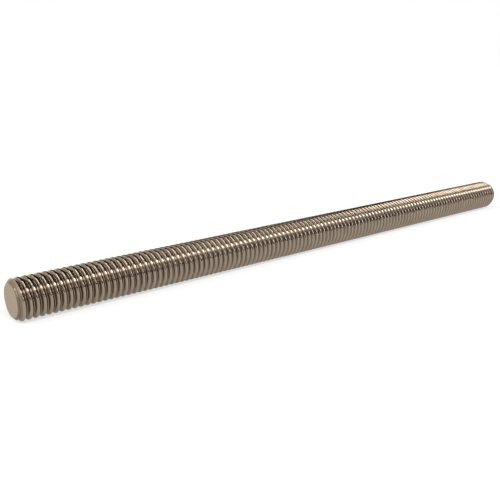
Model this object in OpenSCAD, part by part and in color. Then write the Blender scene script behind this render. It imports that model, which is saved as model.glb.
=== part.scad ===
// Threaded rod: one length of round bar with a right-hand thread from end to end.
// Both ends are cut square and chamfered to just below the thread's root, so that a nut starts easily.
// The rod lies along +X, with the middle of its left end face at the origin.
// Its outside is the smooth envelope over the crests of the thread.

/* [Thread] */
// Diameter over the crests of the thread
thread_d = 8; // [5:0.5:24]
// Distance from one crest to the next
pitch = 1.25; // [0.5:0.05:2.5]

/* [Rod] */
// Length between the two cut end faces
rod_length = 150; // [20:1:500]

/* [Chamfers] */
// Angle between a chamfer and the axis of the rod
chamfer_angle = 45; // [30:1:60]
// How far below the thread's root a chamfer starts, measured along the radius
below_root = 0.08; // [0:0.01:0.3]

/* [Hidden] */
// A 60 degree thread with a rounded root is 17/24 of its sharp triangle deep
thread_depth = 17 / 24 * pitch * cos(30);
crest_r = thread_d / 2;
end_face_r = crest_r - thread_depth - below_root;
chamfer_length = (crest_r - end_face_r) / tan(chamfer_angle);
$fn = 96;

// Half of the lengthwise section, from the axis out to the crests, with one end face on y = 0
module half_section() {
    polygon([
        [0, 0],
        [end_face_r, 0],
        [crest_r, chamfer_length],
        [crest_r, rod_length - chamfer_length],
        [end_face_r, rod_length],
        [0, rod_length]
    ]);
}

module threaded_rod() {
    color("tan")
        rotate([0, 90, 0])
            rotate_extrude()
                half_section();
}

threaded_rod();
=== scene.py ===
# %% [markdown]
# # A threaded rod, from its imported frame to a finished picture
# The real object is one straight length of round steel bar. A screw thread is rolled into it from end to end, and
# then both ends are cut square and turned to a short cone, so that a nut starts easily.
# The frame holds its true size: a smooth bar over the thread's crests, lying along X from the middle of its end.
# This lesson adds what the frame leaves out, which is the thread itself and the look of the metal.

# %% Load the fixed frame
import math

import bpy
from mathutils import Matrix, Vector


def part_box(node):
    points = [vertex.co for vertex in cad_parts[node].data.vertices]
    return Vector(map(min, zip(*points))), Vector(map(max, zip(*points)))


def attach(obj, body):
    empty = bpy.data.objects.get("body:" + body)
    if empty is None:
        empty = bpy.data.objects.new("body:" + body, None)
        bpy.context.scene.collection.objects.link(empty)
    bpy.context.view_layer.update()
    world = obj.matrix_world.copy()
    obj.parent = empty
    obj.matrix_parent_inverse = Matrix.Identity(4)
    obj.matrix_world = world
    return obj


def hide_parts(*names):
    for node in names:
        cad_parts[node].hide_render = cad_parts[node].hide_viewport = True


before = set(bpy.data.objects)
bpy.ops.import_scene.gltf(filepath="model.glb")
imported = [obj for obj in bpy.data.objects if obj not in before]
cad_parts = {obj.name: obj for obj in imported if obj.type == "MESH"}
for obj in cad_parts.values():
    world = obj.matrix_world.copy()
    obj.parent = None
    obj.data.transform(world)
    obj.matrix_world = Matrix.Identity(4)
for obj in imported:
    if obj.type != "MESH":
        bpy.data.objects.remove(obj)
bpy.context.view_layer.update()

MM = 0.001
low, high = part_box("threaded_rod")
rod_length = high.x - low.x
nominal_radius = high.z
print("rod length", round(rod_length / MM, 2), "mm, radius", round(nominal_radius / MM, 3), "mm")

# %% [markdown]
# ## The camera
# The camera stands close to the near end of the rod and a little above it. From so near, the rod shrinks strongly
# towards its far end. The camera could be aimed with a Track To constraint. Here its turn is written as two plain
# angles instead, because they say directly how far it is swung towards the far end and how far it looks down.

# %% Place the camera
film_width = 36.0
focal_length = 47.88
back_from_end = 37.67 * MM
beside_rod = 111.02 * MM
above_axis = 40.77 * MM
swing = math.radians(39.71)
look_down = math.radians(16.05)

camera_data = bpy.data.cameras.new("camera")
camera_data.sensor_width = film_width
camera_data.lens = focal_length
camera_data.clip_start = 5 * MM
camera = bpy.data.objects.new("camera", camera_data)
bpy.context.collection.objects.link(camera)
camera.location = (low.x - back_from_end, -beside_rod, above_axis)
camera.rotation_euler = (math.pi / 2 - look_down, 0.0, -swing)
bpy.context.scene.camera = camera
print("the camera stands", round(camera.location.length / MM), "mm from the near end")

# %% [markdown]
# ## Small helpers for modelling by hand
# An operator acts on whatever is selected, and loading the frame leaves its nodes selected. So each step first
# deselects everything and then selects what it needs. By hand that is a click or a dragged box. In code it is a
# test on the place of each vertex, which gives the same choice every time the script runs.

# %% Choose the piece to work on
def deselect_all():
    if bpy.context.mode != "OBJECT":
        bpy.ops.object.mode_set(mode="OBJECT")
    bpy.ops.object.select_all(action="DESELECT")


def take(piece):
    """Makes the piece the only selected and active one."""
    deselect_all()
    piece.select_set(True)
    bpy.context.view_layer.objects.active = piece


def settle(piece):
    """Puts the object at the origin, unturned and unscaled, with its place in its mesh."""
    take(piece)
    bpy.ops.object.transform_apply(location=True, rotation=True, scale=True)


# %% Choose a part of its mesh
def edit(piece):
    """Opens the piece in edit mode with nothing selected."""
    take(piece)
    bpy.ops.object.mode_set(mode="EDIT")
    bpy.ops.mesh.select_mode(type="VERT")
    bpy.ops.mesh.select_all(action="DESELECT")


def select_vertices(piece, wanted):
    """Selects, in edit mode, just the vertices whose place passes the test."""
    bpy.ops.mesh.select_all(action="DESELECT")
    bpy.ops.object.mode_set(mode="OBJECT")
    for vertex in piece.data.vertices:
        vertex.select = wanted(vertex.co)
    bpy.ops.object.mode_set(mode="EDIT")


# %% [markdown]
# ## The outline of one turn
# Cut lengthwise, a thread is a row of equal teeth. One tooth is a trapezium: a crest, two flanks that meet at 60
# degrees, and a root. Rolling presses the metal up between two dies, which leaves the root round. The crest of this
# bar is wide and strongly rounded, so its thread is a little shallower than the one in a textbook.
# The outline could be typed in as a list of points. Here a plane is cut down to one edge, which is the crest, and
# the flanks and the root are extruded from its ends, because each length then stands in the code by name.

# %% Measure one tooth
pitch = 1.25 * MM
first_crest = 0.68 * MM
spare_turns = 3
crest_flat = 0.3 * pitch
root_flat = pitch / 6
flank_run = (pitch - crest_flat - root_flat) / 2
tooth_height = flank_run / math.tan(math.radians(30))
room_in_box = 0.02 * MM
crest_radius = nominal_radius - room_in_box
tooth_middle = first_crest - spare_turns * pitch
print("a tooth is", round(pitch / MM, 3), "mm long and", round(tooth_height / MM, 3), "mm high")

# %% Draw its crest
deselect_all()
bpy.ops.mesh.primitive_plane_add(size=crest_flat, location=(tooth_middle, 0, crest_radius))
rod = bpy.context.object
rod.name = "threaded_rod_metal"
settle(rod)
edit(rod)
select_vertices(rod, lambda place: place.y > 0)
bpy.ops.mesh.delete(type="VERT")
bpy.ops.mesh.select_all(action="SELECT")
bpy.ops.transform.translate(value=(0, crest_flat / 2, 0))
print("the crest is an edge", round(crest_flat / MM, 3), "mm long")

# %% Draw its flanks and its root
for side in (-1, 1):
    select_vertices(rod, lambda place: side * (place.x - tooth_middle) > 0.4 * crest_flat)
    for step in ((side * flank_run, 0, -tooth_height), (side * root_flat / 2, 0, 0)):
        bpy.ops.mesh.extrude_vertices_move(TRANSFORM_OT_translate={"value": step})
print("each side has half of the root,", round(root_flat / 2 / MM, 3), "mm")

# %% [markdown]
# ## Round corners
# Light shows a thread mainly by its corners, so they matter more than the flanks between them. A bevel could round
# them at the end as well, but by then there are thousands of edges. A vertex bevel rounds the four corners of the
# outline now, before it is wound.

# %% Round the crest and the root
crest_round = 0.46 * crest_flat
root_round = 0.45 * root_flat
mid_height = crest_radius - tooth_height / 2
root_corner = pitch / 2 - root_flat / 2


def at_root(place):
    return place.z < mid_height and abs(place.x - tooth_middle) < 1.001 * root_corner


select_vertices(rod, lambda place: place.z > mid_height)
bpy.ops.mesh.bevel(offset=crest_round, segments=3, affect="VERTICES")
select_vertices(rod, at_root)
bpy.ops.mesh.bevel(offset=root_round, segments=2, affect="VERTICES")
bpy.ops.object.mode_set(mode="OBJECT")
print("one tooth has", len(rod.data.vertices), "vertices")

# %% [markdown]
# ## The thread
# Turning the tooth about the bar's axis, while it moves on by one pitch in each turn, gives a right-hand thread. It
# could be spun in edit mode a step at a time, but the Screw modifier does all the turns at once and never drifts.
# The winding starts and stops a few turns outside the bar. Neighbouring turns are merged into one skin, and a bisect
# closes it with a flat face a little past each end, so that the thread is one solid.

# %% Wind the thread
def apply_modifier(piece, kind, **settings):
    """Adds a modifier with these settings and applies it."""
    take(piece)
    modifier = piece.modifiers.new(kind.title(), kind)
    for name, value in settings.items():
        setattr(modifier, name, value)
    bpy.ops.object.modifier_apply(modifier=modifier.name)


steps_per_turn = 48
turns = round(rod_length / pitch) + 2 * spare_turns
apply_modifier(rod, "SCREW", axis="X", angle=math.tau, screw_offset=pitch, iterations=turns,
               steps=steps_per_turn, render_steps=steps_per_turn, use_smooth_shade=True)
print("the thread is wound in", turns, "turns of", steps_per_turn, "steps")

# %% Merge the turns and close the ends
merge_distance = 0.001 * MM
bisect_threshold = 1e-7

edit(rod)
bpy.ops.mesh.select_all(action="SELECT")
bpy.ops.mesh.remove_doubles(threshold=merge_distance)
for end, outwards in ((low.x - pitch / 2, -1), (high.x + pitch / 2, 1)):
    bpy.ops.mesh.select_all(action="SELECT")
    bpy.ops.mesh.bisect(plane_co=(end, 0, 0), plane_no=(outwards, 0, 0), use_fill=True, clear_outer=True,
                        threshold=bisect_threshold)
bpy.ops.mesh.select_all(action="SELECT")
bpy.ops.mesh.normals_make_consistent(inside=False)
bpy.ops.object.mode_set(mode="OBJECT")
print("the closed thread has", len(rod.data.polygons), "faces")

# %% [markdown]
# ## The cut ends
# A lathe turns the ends after the thread is rolled, so the groove runs out through the cone in a crescent. Drawing
# that crescent by hand would be hard, because a helix meets a cone in a curve with no simple shape. So it is had as
# in the workshop, by keeping only what the thread shares with a turned blank: a cylinder as long as the rod and a
# little thicker than the crests. Its rims are beveled to the cone, and the sharp corner is broken by a small round.

# %% Measure the end face
same_place = 0.01 * MM
cad_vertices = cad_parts["threaded_rod"].data.vertices
face_radius = max(math.hypot(v.co.y, v.co.z) for v in cad_vertices if v.co.x - low.x < same_place)
print("the flat end face has a radius of", round(face_radius / MM, 3), "mm")

# %% Turn the blank
blank_sides = 144
blank_radius = 1.02 * nominal_radius
corner_round = 0.06 * MM
middle = ((low.x + high.x) / 2, 0, 0)

deselect_all()
bpy.ops.mesh.primitive_cylinder_add(vertices=blank_sides, radius=blank_radius, depth=rod_length,
                                    location=middle, rotation=(0, math.pi / 2, 0))
blank = bpy.context.object
settle(blank)
for offset, segments in ((blank_radius - face_radius, 1), (corner_round, 3)):
    for end in (low.x, high.x):
        edit(blank)
        select_vertices(blank, lambda place: abs(place.x - end) < same_place)
        bpy.ops.mesh.select_mode(type="EDGE")
        bpy.ops.mesh.bevel(offset=offset, segments=segments, affect="EDGES")
bpy.ops.object.mode_set(mode="OBJECT")
print("the blank has", len(blank.data.polygons), "faces")

# %% Cut the thread to the blank
apply_modifier(rod, "BOOLEAN", operation="INTERSECT", solver="MANIFOLD", object=blank)
bpy.data.objects.remove(blank)
print("the cut rod has", len(rod.data.polygons), "faces")

# %% [markdown]
# ## Smooth flanks and crisp rims
# On real metal the flanks are smooth curves and the end faces are flat. A much finer mesh could hide the facets,
# at the price of many more faces. Here the shading is smooth wherever two faces meet at a small angle, and broken at
# the rims. Weighted normals let the large faces lead, which keeps the flat ones flat up to their edges.

# %% Smooth the shading
crisp_angle = math.radians(35)
take(rod)
bpy.ops.object.shade_smooth_by_angle(angle=crisp_angle)
apply_modifier(rod, "WEIGHTED_NORMAL", mode="FACE_AREA", keep_sharp=True)
triangles = sum(len(face.vertices) - 2 for face in rod.data.polygons)
print("the rod has", triangles, "triangles")

# %% [markdown]
# ## Writing shader maths as plain expressions
# A material is a tree of nodes, which could be wired up by hand. It is easier to read as arithmetic. The small class
# below wraps one output socket, so that `a * b + 1` adds the Math nodes for it. It knows the reflected forms too,
# which is why `1 - mask` works. Every other node comes from `node()`, which takes its type, its settings and its
# inputs.

# %% Add a node of any type
def node(tree, kind, settings=None, inputs=None):
    """Adds a node, sets it up, and fills or links its inputs."""
    made = tree.nodes.new(kind)
    for name, value in (settings or {}).items():
        setattr(made, name, value)
    for name, value in (inputs or {}).items():
        if isinstance(value, Value):
            tree.links.new(value.socket, made.inputs[name])
        elif isinstance(value, bpy.types.NodeSocket):
            tree.links.new(value, made.inputs[name])
        else:
            made.inputs[name].default_value = value
    return made


# %% Do sums with sockets
class Value:
    """One number that varies from place to place."""

    def __init__(self, tree, socket):
        self.tree = tree
        self.socket = socket

    def maths(self, operation, *inputs):
        sockets = dict(enumerate([self, *inputs]))
        made = node(self.tree, "ShaderNodeMath", {"operation": operation}, sockets)
        return Value(self.tree, made.outputs[0])

    def __add__(self, other):
        return self.maths("ADD", other)

    def __sub__(self, other):
        return self.maths("SUBTRACT", other)

    def __rsub__(self, other):
        return self * -1 + other

    def __mul__(self, other):
        return self.maths("MULTIPLY", other)

    __radd__ = __add__
    __rmul__ = __mul__

    def between(self, start, end):
        """0 below start, 1 above end, and a smooth rise from one to the other."""
        made = node(self.tree, "ShaderNodeMapRange", {"interpolation_type": "SMOOTHSTEP"},
                    {"Value": self, "From Min": start, "From Max": end})
        return Value(self.tree, made.outputs["Result"])


# %% Mix colours and make noise
MIX_FIRST_COLOUR = 6
MIX_SECOND_COLOUR = 7
MIX_COLOUR_RESULT = 2


def mix_colours(tree, share, first, second):
    """Goes from the first colour to the second as the share goes from 0 to 1."""
    made = node(tree, "ShaderNodeMix", {"data_type": "RGBA"},
                {"Factor": share, MIX_FIRST_COLOUR: first, MIX_SECOND_COLOUR: second})
    return made.outputs[MIX_COLOUR_RESULT]


def noise(tree, place, scale, detail):
    made = node(tree, "ShaderNodeTexNoise", {}, {"Vector": place, "Scale": scale, "Detail": detail})
    return Value(tree, made.outputs["Fac"])


def new_material(name):
    material = bpy.data.materials.new(name)
    material.use_nodes = True
    return material, material.node_tree, material.node_tree.nodes["Principled BSDF"]


# %% [markdown]
# ## The metal
# Rolled stainless steel is a warm grey. The dies polish the crests, while the roots keep a thin dark film, and
# the roots are painted darker still, as painted shade in the grooves. The cut ends are cleaner and paler than the
# thread, because a lathe has taken the old skin off them.
# The finish could be painted onto an unwrapped surface. Here it is worked out from the place on the object, which
# needs no unwrapping, has no seam, and stays sharp however close one looks. The first step makes the masks: the
# distance from the axis tells crest from root, and the distance from the nearer end tells what the lathe turned.

# %% Start the steel
steel, steel_tree, steel_shader = new_material("rolled_steel")
place = node(steel_tree, "ShaderNodeTexCoord").outputs["Object"]
in_mm = node(steel_tree, "ShaderNodeVectorMath", {"operation": "SCALE"}, {0: place, "Scale": 1 / MM}).outputs[0]
parts = node(steel_tree, "ShaderNodeSeparateXYZ", {}, {0: in_mm})
x, y, z = (Value(steel_tree, parts.outputs[i]) for i in range(3))
radius = (y * y + z * z).maths("SQRT")
print("the steel is read in millimetres, up to", round(high.x / MM), "along the rod")

# %% Tell the crests, the roots and the turned ends apart
polished_depth = 0.7 * tooth_height
face_blend = (0.01, 0.03)
cone_blend = (0.015, 0.04)

crest = radius.between((crest_radius - polished_depth) / MM, crest_radius / MM)
root = 1 - crest
from_end = (x - low.x / MM).maths("MINIMUM", high.x / MM - x)
off_cone = (radius - from_end - face_radius / MM).maths("ABSOLUTE")
end_face = 1 - from_end.between(*face_blend)
turned = end_face.maths("MAXIMUM", 1 - off_cone.between(*cone_blend))
print("the crests are polished down to", round(polished_depth / MM, 3), "mm below their tops")

# %% [markdown]
# ## Its colour
# Two colours are enough for the thread, a bright one and a dark one for the film. The dark colour is strongest in
# the roots, where it is partly film and partly painted shade that darkens the grooves. Slow clouds and a fine grain
# break the film up, because handling and storing never leave it even. The end faces have their own colour. A
# metal's reflection turns paler at grazing angles, and the tint holds that back on this dull finish.

# %% Spread the film and paint shade into the roots
# The roots' share is partly their film and partly painted shade that darkens the grooves.
root_film_and_shade = 0.55
film_clouds = 0.5
film_grain = 0.35
thin_and_thick = (-0.2, 0.9)

clouds = noise(steel_tree, in_mm, 0.35, 3.0) - 0.5
grain = noise(steel_tree, in_mm, 9.0, 2.0) - 0.5
film_and_root_shade = (root * root_film_and_shade + clouds * film_clouds + grain * film_grain).between(*thin_and_thick)
print("the film takes", len(steel_tree.nodes), "nodes so far")

# %% Colour the steel
STEEL_BRIGHT = (0.31, 0.252, 0.196)
# The dark colour is the film's, and in the roots it also serves as painted shade.
STEEL_FILM_AND_SHADE = (0.155, 0.115, 0.082)
STEEL_TURNED = (0.40, 0.325, 0.25)
EDGE_TINT = (0.75, 0.70, 0.65)

colour = mix_colours(steel_tree, film_and_root_shade, (*STEEL_BRIGHT, 1), (*STEEL_FILM_AND_SHADE, 1))
colour = mix_colours(steel_tree, end_face, colour, (*STEEL_TURNED, 1))
steel_tree.links.new(colour, steel_shader.inputs["Base Color"])
steel_shader.inputs["Metallic"].default_value = 1.0
steel_shader.inputs["Specular Tint"].default_value = (*EDGE_TINT, 1)
print("the thread goes from", STEEL_BRIGHT, "to", STEEL_FILM_AND_SHADE)

# %% [markdown]
# ## Its gloss
# The polished crests are the smoothest part, the roots are a little duller, and the turned faces are the dullest.
# The same clouds and grain as in the colour vary the gloss, because a patch of film changes both.

# %% Set how dull each part is
polished_roughness = 0.16
extra_in_roots = 0.08
extra_in_clouds = 0.12
extra_in_grain = 0.08
extra_on_turned = 0.12

roughness = polished_roughness + root * extra_in_roots + clouds * extra_in_clouds + grain * extra_in_grain
roughness = roughness + turned * extra_on_turned
steel_tree.links.new(roughness.socket, steel_shader.inputs["Roughness"])
print("roughness starts at", polished_roughness, "on the crests")

# %% [markdown]
# ## Its tool marks
# The dies leave fine marks that run round the bar, and the lathe leaves rings on the faces it turned. A noise that
# is squeezed along X and stretched across it makes marks that run round without a seam, and a noise that is read
# along the radius alone makes rings. Shallow dents come on top, from bars knocking together in a box. These could
# be cut into the mesh, but they are far finer than its faces, so they are bump.

# %% Mark the steel
squeeze = (14.0, 0.5, 0.5)
rings_per_mm = 9.0
dent_share = 1.5
bump_strength = 0.25
bump_depth = 0.004 * MM

squeezed = node(steel_tree, "ShaderNodeVectorMath", {"operation": "MULTIPLY"}, {0: in_mm, 1: squeeze}).outputs[0]
along_radius = node(steel_tree, "ShaderNodeCombineXYZ", {}, {0: radius * rings_per_mm}).outputs[0]
rolling_marks = noise(steel_tree, squeezed, 1.0, 3.0)
ring_marks = noise(steel_tree, along_radius, 1.0, 2.0)
dents = noise(steel_tree, in_mm, 1.1, 2.0)
relief = (rolling_marks + dents * dent_share) * (1 - turned) + ring_marks * turned
bump = node(steel_tree, "ShaderNodeBump", {},
            {"Height": relief, "Strength": bump_strength, "Distance": bump_depth})
steel_tree.links.new(bump.outputs["Normal"], steel_shader.inputs["Normal"])
print("the metal has", len(steel_tree.nodes), "nodes")

# %% [markdown]
# ## The rod's place in the frame
# The rod has no moving part, so it rides on the root. It takes the place of the smooth bar that the frame brought
# in, and its slot says which kind of finish it wears.

# %% Tie the rod to the frame
rod.data.materials.clear()
rod.data.materials.append(steel)
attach(rod, "root")
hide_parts("threaded_rod")
print(rod.name, "wears", steel.name)

# %% [markdown]
# ## The table
# The rod lies on a pale table of milky acrylic that is lit a little from below, as for a catalogue picture. A plain
# white table would need far more light to look as pale, and that light would wash out the metal. The glow does it
# gently, and it also lights the underside of the rod, which would otherwise be nearly black.

# %% Lay the table
table_size = 6.0
table_grey = 0.40
table_glow = 0.6

deselect_all()
bpy.ops.mesh.primitive_plane_add(size=table_size, location=((low.x + high.x) / 2, 0, low.z))
table = bpy.context.object
table.name = "table"
settle(table)
table_material, _, table_shader = new_material("pale_table")
table_shader.inputs["Base Color"].default_value = (table_grey, table_grey, table_grey, 1)
table_shader.inputs["Roughness"].default_value = 0.9
table_shader.inputs["Specular IOR Level"].default_value = 0.1
table_shader.inputs["Emission Color"].default_value = (1.0, 1.0, 1.0, 1)
table_shader.inputs["Emission Strength"].default_value = table_glow
table.data.materials.append(table_material)
print("the table lies", round(-low.z / MM, 2), "mm below the rod's axis")

# %% [markdown]
# ## The studio
# Polished metal shows its surroundings, so on this rod the lights are seen as shapes. A long strip light that hangs
# along the rod becomes one small lit spot on each crest, and a card becomes a band along the flanks.
# Each light could be a lamp, which has to be placed, turned and kept out of sight. Here they are painted straight
# into the world around the scene, because a light can then be put just where a reflection should come from.
# A place in the world is given by two angles, as on a globe. The heading goes round, from +Y towards +X, so 180
# degrees is in front of the rod and 270 is off its near end. The elevation goes up from the table.

# %% Read the direction
to_degrees = 180 / math.pi
world = bpy.data.worlds.new("studio")
world.use_nodes = True
sky = world.node_tree
direction = node(sky, "ShaderNodeTexCoord").outputs["Generated"]
along = node(sky, "ShaderNodeSeparateXYZ", {}, {0: direction})
along_x, along_y, along_z = (Value(sky, along.outputs[i]) for i in range(3))
heading = along_x.maths("ARCTAN2", along_y) * to_degrees
elevation = along_z.maths("ARCSINE") * to_degrees
roll = along_z.maths("ARCTAN2", along_y * -1) * to_degrees
print("three angles take", len(sky.nodes), "nodes")

# %% [markdown]
# ## The strip light
# The strip hangs in front of the rod and above it, and runs along it. Seen from the rod, all of it has one roll
# about the X axis, counted from -Y upwards, so one band of roll is the whole light. It grows weaker towards the
# rod's far end, and the lit spots do so too.

# %% Hang the strip light
strip_roll = 55.0
strip_core = 3.5
strip_edge = 8.0
strip_start = (-0.75, -0.55)
strip_fade = (0.3, 0.8)
strip_brightness = 10.0

off_strip = (roll - strip_roll).maths("ABSOLUTE")
strip = (1 - off_strip.between(strip_core, strip_edge)) * along_x.between(*strip_start)
strip = strip * (1 - along_x.between(*strip_fade))
light = strip * strip_brightness
print("the strip light is", 2 * strip_edge, "degrees wide")

# %% [markdown]
# ## The cards
# White cards stand round the rod and fill in its flanks, and a faint ceiling closes the top. Two narrow strips in
# front draw the thin bright streaks on the flanks. The table hides whatever a card has below the horizon.
# The cards could all be placed by eye. Here most of them were rendered one at a time and balanced by a
# least-squares fit, and the results were then rounded and adjusted. The world is black between the cards,
# so a low camera that looks past the table's edge sees black and any card that stands there.

# %% Cut one card
def card(middle_heading, half_width, lower, upper, brightness, soft=3.0):
    """One soft-edged patch of light; all its angles are in degrees."""
    off = (heading - middle_heading).maths("WRAP", 180.0, -180.0).maths("ABSOLUTE")
    across = 1 - off.between(half_width - soft, half_width + soft)
    above = elevation.between(lower - soft, lower + soft)
    below = 1 - elevation.between(upper - soft, upper + soft)
    return across * above * below * brightness


# %% Set up the cards
CARDS = {
    "high, off the near end": (285, 30, 48, 58, 10.0),
    "in front, lower": (180, 15, 15, 27, 2.5),
    "in front, upper": (180, 15, 27, 48, 1.5),
    "off the near end, lower": (270, 15, 15, 27, 2.8),
    "off the near end, upper": (270, 15, 27, 38, 1.7),
    "behind the near end": (315, 30, 15, 38, 1.3),
    "behind the near end, low and wide": (315, 60, -20, 5, 2.2),
    "straight behind": (0, 15, 5, 15, 2.6),
    "narrow strip in front": (158.5, 2.0, 0, 28, 10.0, 0.8),
    "second narrow strip": (148, 2.0, 0, 28, 10.0, 0.8),
    "fill beside the camera": (225, 30, 15, 48, 0.7),
    "fill off the near end": (300, 45, 5, 15, 0.8),
    "fill behind the far end": (45, 30, -20, 8, 1.0),
}
ceiling_edge = (58, 68)
ceiling_brightness = 0.12

for angles in CARDS.values():
    light = light + card(*angles)
light = light + elevation.between(*ceiling_edge) * ceiling_brightness
print("there are", len(CARDS), "cards and a ceiling")

# %% [markdown]
# ## Switching on
# All lights are white, so one number serves for red, green and blue, and the colour in the picture is the metal's
# own. The plain view transform is chosen because it keeps the pale table pale.

# %% Light the scene
paint = node(sky, "ShaderNodeCombineColor", {}, {0: light, 1: light, 2: light})
sky.links.new(paint.outputs[0], sky.nodes["Background"].inputs["Color"])
bpy.context.scene.world = world
bpy.context.scene.view_settings.view_transform = "Standard"
print("the studio has", len(sky.nodes), "nodes")
